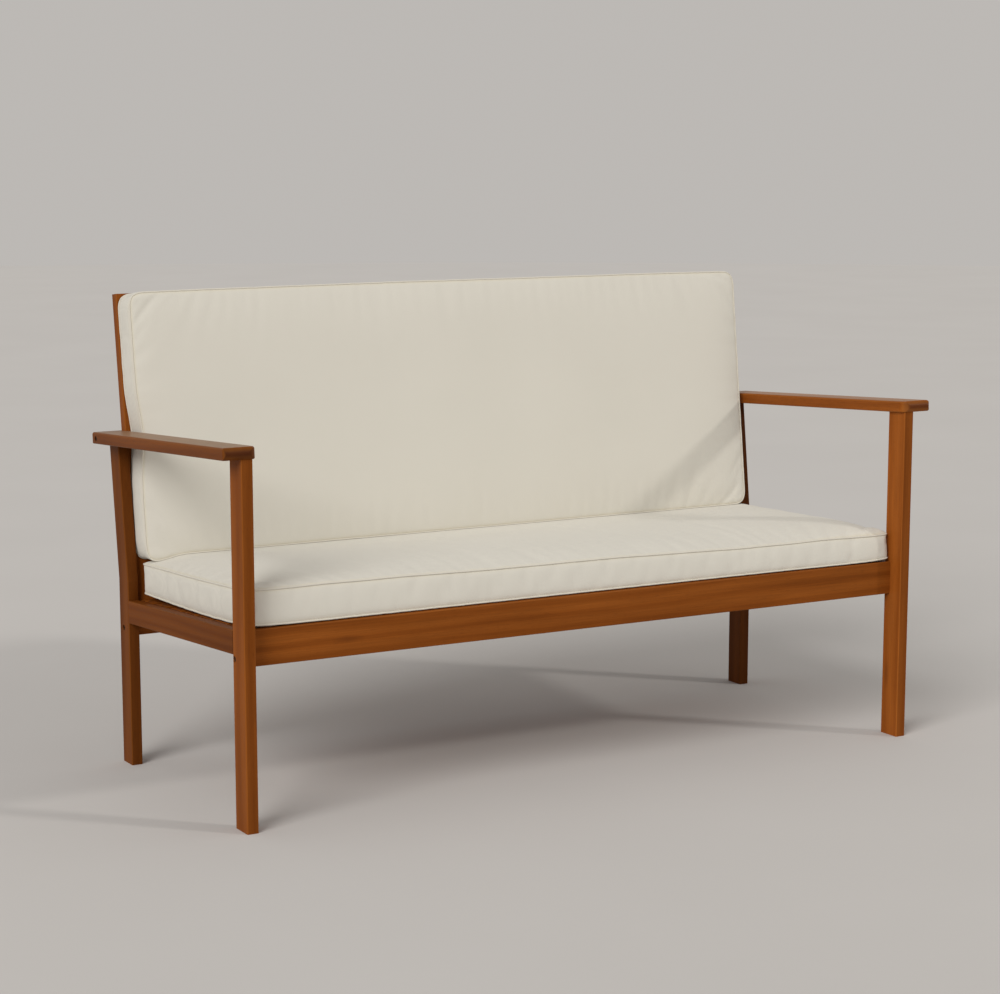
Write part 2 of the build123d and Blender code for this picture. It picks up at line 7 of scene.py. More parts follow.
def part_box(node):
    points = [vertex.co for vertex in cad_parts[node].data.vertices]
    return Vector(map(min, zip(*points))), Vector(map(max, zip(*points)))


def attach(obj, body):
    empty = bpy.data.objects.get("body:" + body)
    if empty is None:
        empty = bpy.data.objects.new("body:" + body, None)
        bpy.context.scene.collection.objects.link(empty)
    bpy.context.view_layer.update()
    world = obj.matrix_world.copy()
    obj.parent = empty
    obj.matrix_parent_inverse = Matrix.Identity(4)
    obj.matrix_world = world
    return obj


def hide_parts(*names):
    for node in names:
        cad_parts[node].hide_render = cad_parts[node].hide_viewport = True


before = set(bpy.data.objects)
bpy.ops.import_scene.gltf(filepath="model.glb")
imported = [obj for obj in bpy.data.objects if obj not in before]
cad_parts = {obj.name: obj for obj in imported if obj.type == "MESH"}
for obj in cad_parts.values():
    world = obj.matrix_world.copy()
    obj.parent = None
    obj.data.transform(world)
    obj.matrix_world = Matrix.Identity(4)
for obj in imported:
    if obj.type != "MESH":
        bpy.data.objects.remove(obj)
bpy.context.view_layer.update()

bpy.ops.object.select_all(action="DESELECT")
scene = bpy.context.scene

# The camera stands to the left of the seat, a little above the arms, and looks
# across it to the right. Its place comes from the corners seen in the photograph.
turn_right = 29.559         # degrees
look_down = 9.738           # degrees
focal_length = 2485.2       # pixels of the photograph
photo_width = 1000          # pixels
camera_data = bpy.data.cameras.new("camera")
camera_data.sensor_width = 36
camera_data.lens = focal_length / photo_width * camera_data.sensor_width
camera_data.shift_y = 0.053
camera_data.clip_end = 60
camera = bpy.data.objects.new("camera", camera_data)
camera.location = (-2.2035, -3.8275, 1.1195)
camera.rotation_euler = (radians(90 - look_down), 0, radians(-turn_right))
scene.collection.objects.link(camera)
scene.camera = camera
scene.view_settings.view_transform = "Standard"


# A plain pale floor runs out under a pale room of the same tone. The room shows
# itself to the camera and in gloss only, and lights the seat at a lower, even level.
def new_finish(name):
    """A new material, with its node tree and its shader."""
    finish = bpy.data.materials.new(name)
    finish.use_nodes = True
    return finish, finish.node_tree, finish.node_tree.nodes["Principled BSDF"]


def mottle(tree, shader, scale, detail, low, high):
    """Colours a finish by noise over the object, and returns the noise itself. low and
    high are the stops of the colour ramp, each a position and a colour."""
    place = tree.nodes.new("ShaderNodeTexCoord")
    cloud = tree.nodes.new("ShaderNodeTexNoise")
    cloud.inputs["Scale"].default_value = scale
    cloud.inputs["Detail"].default_value = detail
    tone = tree.nodes.new("ShaderNodeValToRGB")
    for stop, (position, colour) in zip(tone.color_ramp.elements, (low, high)):
        stop.position = position
        stop.color = (*colour, 1)
    tree.links.new(place.outputs["Object"], cloud.inputs["Vector"])
    tree.links.new(cloud.outputs["Fac"], tone.inputs["Fac"])
    tree.links.new(tone.outputs["Color"], shader.inputs["Base Color"])
    return cloud.outputs["Fac"]


bpy.ops.mesh.primitive_circle_add(vertices=96, radius=16, fill_type="NGON", location=(0, 0, 0))
floor = bpy.context.object
floor.name = "floor"
floor_finish, tree, shader = new_finish("floor_finish")
mottle(tree, shader, 1.6, 6, (0.3, (0.607, 0.584, 0.564)), (0.7, (0.622, 0.599, 0.579)))
shader.inputs["Roughness"].default_value = 0.9
shader.inputs["Specular IOR Level"].default_value = 0
floor.data.materials.append(floor_finish)

room = bpy.data.worlds.new("room")
room.use_nodes = True
scene.world = room
tree = room.node_tree
glow = tree.nodes["Background"]
glow.inputs["Color"].default_value = (1.0, 0.985, 0.96, 1)
glow.inputs["Strength"].default_value = 0.42
seen = tree.nodes.new("ShaderNodeBackground")
seen.inputs["Color"].default_value = (0.505, 0.483, 0.46, 1)
ray = tree.nodes.new("ShaderNodeLightPath")
mirrored = tree.nodes.new("ShaderNodeMath")
mirrored.operation = "MAXIMUM"
direct = tree.nodes.new("ShaderNodeMath")
direct.operation = "MAXIMUM"
either = tree.nodes.new("ShaderNodeMixShader")
tree.links.new(ray.outputs["Is Glossy Ray"], mirrored.inputs[0])
tree.links.new(ray.outputs["Is Transmission Ray"], mirrored.inputs[1])
tree.links.new(ray.outputs["Is Camera Ray"], direct.inputs[0])
tree.links.new(mirrored.outputs[0], direct.inputs[1])
tree.links.new(direct.outputs[0], either.inputs[0])
tree.links.new(glow.outputs[0], either.inputs[1])
tree.links.new(seen.outputs[0], either.inputs[2])
tree.links.new(either.outputs[0], tree.nodes["World Output"].inputs["Surface"])

# Daylight from a wide window to the left, and a smaller, weaker light from the right
# that lays the right arm's shadow across the back cushion.
for name, toward, spread, strength, tint in (
    ("light_left", (-0.70, -0.45, 0.55), 32, 1.8, (1.0, 0.985, 0.96)),
    ("light_right", (0.617, -0.619, 0.484), 5, 0.62, (1.0, 0.97, 0.92)),
):
    lamp_data = bpy.data.lights.new(name, "SUN")
    lamp_data.angle = radians(spread)
    lamp_data.energy = strength
    lamp_data.color = tint
    lamp = bpy.data.objects.new(name, lamp_data)
    lamp.rotation_euler = Vector(toward).to_track_quat("Z", "Y").to_euler()
    scene.collection.objects.link(lamp)


# The legs are flat hardwood boards: two upright in front, and two behind that lean
# back above the seat. They are sawn, sanded, eased along the edges and oiled to a
# warm orange brown with a low shine.
def stained_wood(name, turn, middle, seed, tone_and_light, narrow_shade, top_sheen, rough):
    """Oiled hardwood. turn brings the grain's direction to X, about the board's middle,
    and seed picks the cut. tone_and_light multiplies the colour: the board's own tone,
    and on some boards painted light or shade as well. narrow_shade is how far the narrow
    faces are painted darker, as painted shade, top_sheen how far the faces that look up
    are painted paler, as a painted reflection, both from 0 to 1, and rough is the lowest
    roughness."""
    finish, tree, shader = new_finish(name)
    light = (0.290, 0.084, 0.0125)
    mid = (0.270, 0.076, 0.0105)
    dark = (0.240, 0.065, 0.0085)
    pore_stain = (0.07, 0.019, 0.005)
    knot_stain = (0.105, 0.028, 0.006)
    end_stain = (0.085, 0.024, 0.009)
    edge_pale = (0.33, 0.117, 0.024)
    narrow_shade_colour = (0.10, 0.027, 0.004)
    sheen_pale = (0.50, 0.34, 0.22)

    def step(kind, **settings):
        made = tree.nodes.new(kind)
        for key, value in settings.items():
            setattr(made, key, value)
        return made

    def ramp(source, stops):
        made = step("ShaderNodeValToRGB")
        while len(made.color_ramp.elements) < len(stops):
            made.color_ramp.elements.new(0.5)
        for stop, (position, colour) in zip(made.color_ramp.elements, stops):
            if not isinstance(colour, tuple):
                colour = (colour, colour, colour)
            stop.position = position
            stop.color = (*colour, 1)
        tree.links.new(source, made.inputs["Fac"])
        return made.outputs["Color"]

    def scaled(source, share):
        made = step("ShaderNodeMath", operation="MULTIPLY")
        made.inputs[1].default_value = share
        tree.links.new(source, made.inputs[0])
        return made.outputs[0]

    def blended(mode, amount, under, over):
        made = step("ShaderNodeMix", data_type="RGBA", blend_type=mode)
        if isinstance(amount, (int, float)):
            made.inputs[0].default_value = amount
        else:
            tree.links.new(amount, made.inputs[0])
        tree.links.new(under, made.inputs[6])
        if isinstance(over, tuple):
            made.inputs[7].default_value = (*over, 1)
        else:
            tree.links.new(over, made.inputs[7])
        return made.outputs[2]

    def stretched(along, across, shift):
        made = step("ShaderNodeMapping")
        made.inputs["Scale"].default_value = (along, across, across)
        made.inputs["Location"].default_value = shift
        tree.links.new(board.outputs["Vector"], made.inputs["Vector"])
        return made.outputs["Vector"]

    def grain_noise(along, across, shift, detail):
        made = step("ShaderNodeTexNoise")
        made.inputs["Scale"].default_value = 1
        made.inputs["Detail"].default_value = detail
        tree.links.new(stretched(along, across, shift), made.inputs["Vector"])
        return made

    place = step("ShaderNodeTexCoord")
    board = step("ShaderNodeMapping")
    board.inputs["Rotation"].default_value = turn
    board.inputs["Location"].default_value = -(turn.to_matrix() @ middle)
    tree.links.new(place.outputs["Object"], board.inputs["Vector"])

    # growth rings, cut well away from the heart, so that they run as faint long arches
    rings = step("ShaderNodeTexWave", wave_type="RINGS", rings_direction="X")
    rings.inputs["Scale"].default_value = 14
    rings.inputs["Distortion"].default_value = 7
    rings.inputs["Detail"].default_value = 4
    rings.inputs["Detail Scale"].default_value = 0.8
    heart = (seed * 1.7, 0.031 + 0.013 * sin(seed * 5), 0.044 + 0.012 * cos(seed * 3))
    tree.links.new(stretched(0.09, 1, heart), rings.inputs["Vector"])
    colour = ramp(rings.outputs["Fac"], [(0.0, light), (0.55, mid), (1.0, dark)])

    # broad drifts of tone from end to end, and streaks a few millimetres wide
    drift = grain_noise(2.4, 24, (seed, seed * 2, 0), 3).outputs["Fac"]
    cloud = ramp(drift, [(0.3, (0.78, 0.75, 0.72)), (0.7, (1.16, 1.18, 1.2))])
    colour = blended("MULTIPLY", 0.8, colour, cloud)
    band = grain_noise(2.2, 130, (seed * 3, 0, seed), 3).outputs["Fac"]
    stripe = ramp(band, [(0.3, (0.9, 0.88, 0.86)), (0.7, (1.06, 1.07, 1.08))])
    colour = blended("MULTIPLY", 0.7, colour, stripe)

    # fine fibres, and short dark pores filled with stain
    fibres = grain_noise(11, 620, (0, seed, seed), 4)
    fibres.inputs["Roughness"].default_value = 0.65
    fibre = fibres.outputs["Fac"]
    streak = ramp(fibre, [(0.32, 0.84), (0.68, 1.1)])
    colour = blended("MULTIPLY", 0.8, colour, streak)
    pore = grain_noise(60, 1500, (seed, 0, seed), 1).outputs["Fac"]
    pit = ramp(pore, [(0.64, 0.0), (0.74, 1.0)])
    colour = blended("MIX", scaled(pit, 0.4), colour, pore_stain)

    # dark flecks and a pin knot now and then
    fleck = step("ShaderNodeTexVoronoi")
    fleck.inputs["Scale"].default_value = 1
    tree.links.new(stretched(4.5, 19, (seed * 3, seed, 0.3)), fleck.inputs["Vector"])
    knot = ramp(fleck.outputs["Distance"], [(0.04, 1.0), (0.15, 0.0)])
    colour = blended("MIX", scaled(knot, 0.4), colour, knot_stain)

    # end grain drinks the stain and goes a dark reddish brown
    facing = step("ShaderNodeMapping", vector_type="NORMAL")
    facing.inputs["Rotation"].default_value = turn
    tree.links.new(place.outputs["Normal"], facing.inputs["Vector"])
    size = step("ShaderNodeVectorMath", operation="ABSOLUTE")
    tree.links.new(facing.outputs["Vector"], size.inputs[0])
    parts = step("ShaderNodeSeparateXYZ")
    tree.links.new(size.outputs[0], parts.inputs[0])
    end = ramp(parts.outputs["X"], [(0.55, 0.0), (0.9, 1.0)])
    colour = blended("MIX", scaled(end, 0.82), colour, end_stain)

    # the eased edges, where no part of the normal is near 1, are rubbed a little paler
    wide = step("ShaderNodeMath", operation="MAXIMUM")
    tree.links.new(parts.outputs["Y"], wide.inputs[0])
    tree.links.new(parts.outputs["Z"], wide.inputs[1])
    widest = step("ShaderNodeMath", operation="MAXIMUM")
    tree.links.new(wide.outputs[0], widest.inputs[0])
    tree.links.new(parts.outputs["X"], widest.inputs[1])
    edge = ramp(widest.outputs[0], [(0.88, 0.7), (0.985, 0.0)])
    rubbed = step("ShaderNodeMath", operation="MULTIPLY")
    tree.links.new(edge, rubbed.inputs[0])
    tree.links.new(drift, rubbed.inputs[1])
    colour = blended("MIX", rubbed.outputs[0], colour, edge_pale)
    if narrow_shade:
        # painted shade: a leg's narrow faces are painted darker
        narrow_shade_mask = ramp(parts.outputs["Y"], [(0.9, 0.0), (0.98, narrow_shade)])
        colour = blended("MIX", narrow_shade_mask, colour, narrow_shade_colour)
    if top_sheen:
        # painted reflection: the faces that look up are painted paler, for the gloss seen on
        # them
        up = step("ShaderNodeSeparateXYZ")
        tree.links.new(place.outputs["Normal"], up.inputs[0])
        top_sheen_mask = ramp(up.outputs["Z"], [(0.9, 0.0), (0.99, top_sheen)])
        colour = blended("MIX", top_sheen_mask, colour, sheen_pale)
    # the colour is multiplied by the board's own tone, and on some boards by painted light or
    # shade as well
    colour = blended("MULTIPLY", 1, colour, (tone_and_light, tone_and_light * 0.98, tone_and_light * 0.96))
    tree.links.new(colour, shader.inputs["Base Color"])

    # the fibres stand up a little, and the pores are sunk
    gloss = ramp(fibre, [(0.3, rough), (0.7, rough + 0.12)])
    tree.links.new(gloss, shader.inputs["Roughness"])
    relief = step("ShaderNodeMath", operation="SUBTRACT")
    tree.links.new(fibre, relief.inputs[0])
    tree.links.new(pit, relief.inputs[1])
    bump = step("ShaderNodeBump")
    bump.inputs["Strength"].default_value = 0.35
    bump.inputs["Distance"].default_value = 0.0002
    tree.links.new(relief.outputs[0], bump.inputs["Height"])
    tree.links.new(bump.outputs["Normal"], shader.inputs["Normal"])
    shader.inputs["Specular IOR Level"].default_value = 0.05
    return finish


def put_on(node, finish):
    """Gives a CAD node this finish and no other."""
    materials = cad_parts[node].data.materials
    materials.clear()
    materials.append(finish)


def finish_board(node, turn, seed, tone_and_light=1.0, narrow_shade=0, top_sheen=0, rough=0.42):
    """Gives a CAD board its own cut of wood. The values are those of stained_wood."""
    low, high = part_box(node)
    middle = (low + high) / 2
    name = node + "_wood"
    put_on(node, stained_wood(name, turn, middle, seed, tone_and_light, narrow_shade, top_sheen, rough))


tilt = radians(7.1)         # of the rear legs above the seat, and of the whole back
upright = Euler((0, radians(90), 0))
leaning = Euler((tilt, radians(90), 0))
# The right front leg is painted lighter, as painted light, and the rear legs darker, as painted
# shade.
finish_board("front_leg_left", upright, 1.3, 0.95, narrow_shade=0.3)
finish_board("front_leg_right", upright, 2.9, 1.18, narrow_shade=0.45)
finish_board("rear_leg_left", upright, 4.1, 0.6, narrow_shade=0.3)
finish_board("rear_leg_right", upright, 5.7, 0.5, narrow_shade=0.5)

# Side rails join the legs in pairs under the arms, pegged into their edges, and
# slope down to the back with the seat.
slope = radians(3.7)        # of the side rails and of the whole seat
sloping = Euler((slope, 0, radians(-90)))
# The left side rail is painted darker, as painted shade.
finish_board("side_rail_left", sloping, 6.2, 0.6)
finish_board("side_rail_right", sloping, 7.4, 1.0)

# Front and rear rails are bolted between the two pairs of legs. They lie along X,
# so their grain needs no turn.
lengthways = Euler((0, 0, 0))
finish_board("front_rail", lengthways, 8.8, 0.9)
finish_board("rear_rail", lengthways, 9.6, 0.95)

# The seat deck: two cleats screwed along the side rails, a bearer in the middle,
# and seven slats screwed down on them.
finish_board("seat_cleat_left", sloping, 10.1, 0.9)
finish_board("seat_cleat_right", sloping, 11.3, 0.95)
finish_board("centre_bearer", sloping, 12.7, 0.9)
for i in range(1, 8):
    finish_board(f"seat_slat_{i}", lengthways, 13 + 1.37 * i, 0.9 + 0.05 * (i % 3))

# The back frame: two stiles, a top and a bottom rail and nine upright slats in
# mortises, leaning back between the rear legs.
finish_board("back_stile_left", leaning, 24.3, 0.95)
finish_board("back_stile_right", leaning, 25.9, 1.05)
finish_board("back_top_rail", lengthways, 26.7, 1.0)
finish_board("back_bottom_rail", lengthways, 27.8, 0.95)
for i in range(1, 10):
    finish_board(f"back_slat_{i}", leaning, 29 + 1.21 * i, 0.92 + 0.05 * (i % 4))

# Arms: flat planks pegged on top of the legs, rounded at the front, where the end
# grain shows dark, and let in round the stiles at the back. Their tops are painted
# paler, a painted reflection.
arm_turn = Euler((radians(3.6), 0, radians(-90)))
# The left arm is painted darker, as painted shade.
finish_board("arm_left", arm_turn, 41.2, 0.68, top_sheen=0.65, rough=0.3)
finish_board("arm_right", arm_turn, 43.9, 1.0, top_sheen=0.4, rough=0.3)

# Beech pegs hold the rails, the arms, the back frame and the middle bearer. They sit
# inside the joints, where nothing of them shows.
peg_finish, tree, shader = new_finish("beech_peg")
mottle(tree, shader, 700, 2, (0, (0.46, 0.29, 0.15)), (1, (0.62, 0.43, 0.25)))
shader.inputs["Roughness"].default_value = 0.6
for node in ("rail_pegs", "side_rail_pegs", "arm_pegs", "back_frame_pegs", "bearer_pegs"):
    put_on(node, peg_finish)

# Bolts, barrel nuts and screws are dark plated steel. The bolt heads sit down in
# their holes on the outer faces, and show as dark dots.
steel_finish, tree, shader = new_finish("dark_steel")
spots = mottle(tree, shader, 900, 3, (0, (0.035, 0.033, 0.032)), (1, (0.1, 0.094, 0.088)))
rough = tree.nodes.new("ShaderNodeMapRange")
rough.inputs["To Min"].default_value = 0.35
rough.inputs["To Max"].default_value = 0.6
tree.links.new(spots, rough.inputs["Value"])
tree.links.new(rough.outputs["Result"], shader.inputs["Roughness"])
shader.inputs["Metallic"].default_value = 0.9
for node in (
    "rail_bolts", "barrel_nuts", "arm_bolts", "back_frame_screws", "cleat_screws", "slat_screws",
):
    put_on(node, steel_finish)


# The seat cushion is a foam block in a boxed cover of off-white woven polyester: a
# top and a bottom panel sewn to a band, with a thin piping in both seams. It lies
# loose on the slats, and its rear is pressed down under the back cushion.
def woven_cover(name, base, shade):
    """Plain weave in off-white yarn, drifting from base to shade, and a touch yellower
    in the seams."""
    finish, tree, shader = new_finish(name)
    place = tree.nodes.new("ShaderNodeTexCoord")
    split = tree.nodes.new("ShaderNodeSeparateXYZ")
    tree.links.new(place.outputs["Object"], split.inputs[0])
    down = tree.nodes.new("ShaderNodeMath")
    down.operation = "SUBTRACT"
    tree.links.new(split.outputs["Z"], down.inputs[0])
    tree.links.new(split.outputs["Y"], down.inputs[1])

    # two sets of fine yarns across each other, thicker in some places than in others
    yarns = []
    for source in (split.outputs["X"], down.outputs[0]):
        along = tree.nodes.new("ShaderNodeCombineXYZ")
        tree.links.new(source, along.inputs["X"])
        yarn = tree.nodes.new("ShaderNodeTexWave")
        yarn.bands_direction = "X"
        yarn.inputs["Scale"].default_value = 314
        tree.links.new(along.outputs[0], yarn.inputs["Vector"])
        yarns.append(yarn.outputs["Fac"])
    weave = tree.nodes.new("ShaderNodeMath")
    weave.operation = "MAXIMUM"
    tree.links.new(yarns[0], weave.inputs[0])
    tree.links.new(yarns[1], weave.inputs[1])
    slub = tree.nodes.new("ShaderNodeTexNoise")
    slub.inputs["Scale"].default_value = 190
    slub.inputs["Detail"].default_value = 3
    tree.links.new(place.outputs["Object"], slub.inputs["Vector"])
    height = tree.nodes.new("ShaderNodeMath")
    height.operation = "ADD"
    tree.links.new(weave.outputs[0], height.inputs[0])
    tree.links.new(slub.outputs["Fac"], height.inputs[1])
    bump = tree.nodes.new("ShaderNodeBump")
    bump.inputs["Strength"].default_value = 0.3
    bump.inputs["Distance"].default_value = 0.0002
    tree.links.new(height.outputs[0], bump.inputs["Height"])
    tree.links.new(bump.outputs["Normal"], shader.inputs["Normal"])

    # the tone drifts over the cloth, and is painted a little darker between the yarns, as
    # painted shade in the hollows of the weave
    cloud = tree.nodes.new("ShaderNodeTexNoise")
    cloud.inputs["Scale"].default_value = 5
    cloud.inputs["Detail"].default_value = 4
    tree.links.new(place.outputs["Object"], cloud.inputs["Vector"])
    tone = tree.nodes.new("ShaderNodeMix")
    tone.data_type = "RGBA"
    tone.inputs[6].default_value = (*shade, 1)
    tone.inputs[7].default_value = (*base, 1)
    tree.links.new(cloud.outputs["Fac"], tone.inputs[0])
    yarn_shade = tree.nodes.new("ShaderNodeMapRange")
    yarn_shade.inputs["To Min"].default_value = 0.94
    yarn_shade.inputs["To Max"].default_value = 1.0
    tree.links.new(weave.outputs[0], yarn_shade.inputs["Value"])
    woven = tree.nodes.new("ShaderNodeVectorMath")
    woven.operation = "SCALE"
    tree.links.new(tone.outputs[2], woven.inputs[0])
    tree.links.new(yarn_shade.outputs["Result"], woven.inputs["Scale"])
    near = tree.nodes.new("ShaderNodeAttribute")
    near.attribute_name = "seam"
    soiled = tree.nodes.new("ShaderNodeMix")
    soiled.data_type = "RGBA"
    soiled.inputs[7].default_value = (base[0] * 0.94, base[1] * 0.91, base[2] * 0.82, 1)
    tree.links.new(near.outputs["Fac"], soiled.inputs[0])
    tree.links.new(woven.outputs[0], soiled.inputs[6])
    tree.links.new(soiled.outputs[2], shader.inputs["Base Color"])
    shader.inputs["Roughness"].default_value = 0.88
    shader.inputs["Sheen Weight"].default_value = 0.18
    shader.inputs["Sheen Roughness"].default_value = 0.5
    return finish


on_seam = 0.0001            # a point closer to a seam than this lies on it


def part_way(value, start, end):
    """How far value has gone from start to end, from 0 to 1."""
    return min(max((value - start) / (end - start), 0), 1)


def eased(share):
    """The same share with a soft start and a soft end."""
    return share * share * (3 - 2 * share)


def cut_block(name, size):
    """A block on its back panel, cut into 144 rows across, 52 along and 6 through."""
    bpy.ops.object.select_all(action="DESELECT")
    bpy.ops.mesh.primitive_cube_add(size=1, location=(0, 0, size[2] / 2), scale=size)
    block = bpy.context.object
    block.name = name
    bpy.ops.object.transform_apply(location=True, rotation=True, scale=True)
    scene.tool_settings.mesh_select_mode = (False, True, False)
    for axis, cuts in ((0, 11), (0, 11), (1, 51), (2, 5)):
        bpy.ops.object.mode_set(mode="EDIT")
        bpy.ops.mesh.select_all(action="DESELECT")
        bpy.ops.object.mode_set(mode="OBJECT")
        for edge in block.data.edges:
            a, b = (block.data.vertices[v].co for v in edge.vertices)
            edge.select = abs((a - b)[axis]) > 0.0001
        bpy.ops.object.mode_set(mode="EDIT")
        bpy.ops.mesh.subdivide(number_cuts=cuts)
        bpy.ops.object.mode_set(mode="OBJECT")
    return block


def blow_up(cover, most, slack):
    """Swells the cloth by inner pressure, held at its seams. No point moves further
    than its own limit in most, and slack is how much larger the cloth is cut."""
    start = [vertex.co.copy() for vertex in cover.data.vertices]
    rims = cover.data.attributes["rim"].data
    on_rim = [i for i, item in enumerate(rims) if item.value != 0]
    held = cover.vertex_groups.new(name="seams")
    held.add(on_rim, 1, "REPLACE")
    swelling = cover.modifiers.new("swelling", "CLOTH")
    swelling.settings.quality = 6
    swelling.settings.mass = 0.3
    swelling.settings.vertex_group_mass = "seams"
    swelling.settings.use_pressure = True
    swelling.settings.uniform_pressure_force = 4
    swelling.settings.effector_weights.gravity = 0
    swelling.settings.shrink_min = -slack
    swelling.point_cache.frame_start = 1
    swelling.point_cache.frame_end = 20
    for moment in range(1, 21):
        scene.frame_set(moment)
    blown = cover.evaluated_get(bpy.context.evaluated_depsgraph_get()).to_mesh()
    moved = [vertex.co.copy() for vertex in blown.vertices]
    cover.modifiers.remove(swelling)
    scene.frame_set(1)
    for vertex, before, after, limit in zip(cover.data.vertices, start, moved, most):
        shift = after - before
        if shift.length > 0:
            shift = shift.normalized() * limit * tanh(shift.length / limit)
        vertex.co = before + shift


def piping(thread):
    """A thin round cord through the points of one seam."""
    thread.sort(key=lambda point: atan2(point.y, point.x))
    line = bpy.data.curves.new("rim", "CURVE")
    line.dimensions = "3D"
    line.bevel_depth = 0.0016
    line.bevel_resolution = 2
    path = line.splines.new("POLY")
    path.points.add(len(thread) - 1)
    for point, place in zip(path.points, thread):
        point.co = (*place, 1)
    path.use_cyclic_u = True
    cord = bpy.data.objects.new("rim", line)
    scene.collection.objects.link(cord)
    return cord


def sewn_cushion(name, size, corner, drawn, swell, seed):
    """A boxed cushion lying on its back panel: size across, along and through. drawn
    gives the place of a point of the plain block once its seams pull, and swell how
    far its face and its band then stand out, and how slack the cloth is cut."""
    width, length, thick = size
    face_swell, band_swell, slack = swell
    cover = cut_block(name, size)

    # rows crowd together towards the seams, and the upright corners are rounded
    gap = cover.data.attributes.new("gap", "FLOAT", "POINT")
    rim = cover.data.attributes.new("rim", "FLOAT", "POINT")
    most = []
    for index, vertex in enumerate(cover.data.vertices):
        x, y, z = vertex.co
        share_x = 2 * x / width
        share_y = 2 * y / length
        x = width / 2 * share_x * (1.3 - 0.3 * share_x * share_x)
        y = length / 2 * share_y * (1.3 - 0.3 * share_y * share_y)
        inside = min(width / 2 - abs(x), length / 2 - abs(y))
        gap.data[index].value = min(hypot(inside, z), hypot(inside, thick - z))
        if gap.data[index].value < on_seam:
            rim.data[index].value = 1 if z < thick / 2 else -1
        most.append(band_swell if inside < on_seam else face_swell)
        over_x = abs(x) - width / 2 + corner
        over_y = abs(y) - length / 2 + corner
        if over_x > 0 and over_y > 0:
            share = max(over_x, over_y) / hypot(over_x, over_y)
            x = copysign(width / 2 - corner + over_x * share, x)
            y = copysign(length / 2 - corner + over_y * share, y)
        vertex.co = drawn(x, y, z)
    blow_up(cover, most, slack)
    bpy.ops.object.select_all(action="DESELECT")
    cover.select_set(True)
    bpy.context.view_layer.objects.active = cover
    fine = cover.modifiers.new("fine", "SUBSURF")
    fine.levels = 1
    fine.render_levels = 1
    bpy.ops.object.modifier_apply(modifier="fine")

    # seams sit in a shallow valley, with small puckers running off them
    pucker_height = 0.0004
    valley_depth = 0.0008
    loose_height = 0.0011
    cord_lift = 0.0006
    seam = cover.data.attributes.new("seam", "FLOAT", "POINT")
    gaps = [item.value for item in cover.data.attributes["gap"].data]
    rims = [item.value for item in cover.data.attributes["rim"].data]
    outward = [vertex.normal.copy() for vertex in cover.data.vertices]
    threads = {1: [], -1: []}
    for index, vertex in enumerate(cover.data.vertices):
        co = vertex.co.copy()
        near = gaps[index]
        along = co.x if abs(co.y) > length / 2 - 0.07 else co.y
        pucker = noise.noise(Vector((along * 38, seed, co.z * 9)))
        pucker += 0.6 * noise.noise(Vector((along * 90, seed, 7)))
        depth = pucker_height * exp(-near / 0.028) * pucker
        depth -= valley_depth * exp(-(near / 0.005) ** 2)
        loose = loose_height * noise.noise(Vector((co.x * 6, co.y * 9, seed)))
        vertex.co = co + outward[index] * (depth + loose * (1 - exp(-near / 0.05)))
        seam.data[index].value = exp(-(near / 0.004) ** 2)
        for side, thread in threads.items():
            if rims[index] * side > 0.99:
                thread.append(vertex.co + outward[index] * cord_lift)

    # the piping lies in both seams
    cords = [piping(thread) for thread in threads.values()]
    bpy.ops.object.select_all(action="DESELECT")
    for cord in cords:
        cord.select_set(True)
    bpy.context.view_layer.objects.active = cords[0]
    bpy.ops.object.convert(target="MESH")
    for cord in bpy.context.selected_objects:
        cord.data.materials.clear()
        cord.data.materials.append(piping_finish)
    cover.data.materials.clear()
    cover.data.materials.append(cover_finish)
    cover.select_set(True)
    bpy.context.view_layer.objects.active = cover
    bpy.ops.object.join()
    bpy.ops.object.shade_smooth()
    return cover


cover_finish = woven_cover("off_white_weave", (0.72, 0.69, 0.615), (0.685, 0.655, 0.58))
piping_finish = woven_cover("off_white_piping", (0.70, 0.66, 0.575), (0.67, 0.63, 0.545))
cover_gap = 0.0006              # between a cover and the boards that it lies on
seat_axes = Matrix((            # X to the right, Y back along the slats, Z up off them
    (1, 0, 0, 0),
    (0, cos(slope), sin(slope), -0.254685),
    (0, -sin(slope), cos(slope), 0.326),
    (0, 0, 0, 1),
))
seat_size = (1.278, 0.4705, 0.056)
seat_middle = 0.2308            # of the cushion, behind the middle of the front rail
top_from = 0.06                 # a point higher than this is in the top panel
lap_level = 0.0779              # height of the top where the back cushion stands on it
lap_fall = 0.0095               # how much lower that is at the left end
lap_fall_x = (-0.56, -0.635)    # where it falls
lap_from = 0.4                  # behind this, no point of the top is higher than the lap
press_front = (0.32, 0.405)     # the top is pressed level between these two stretches
press_rear = (0.462, 0.432)     # of Y, and inward of this one of X at each end
press_ends = (0.637, 0.607)


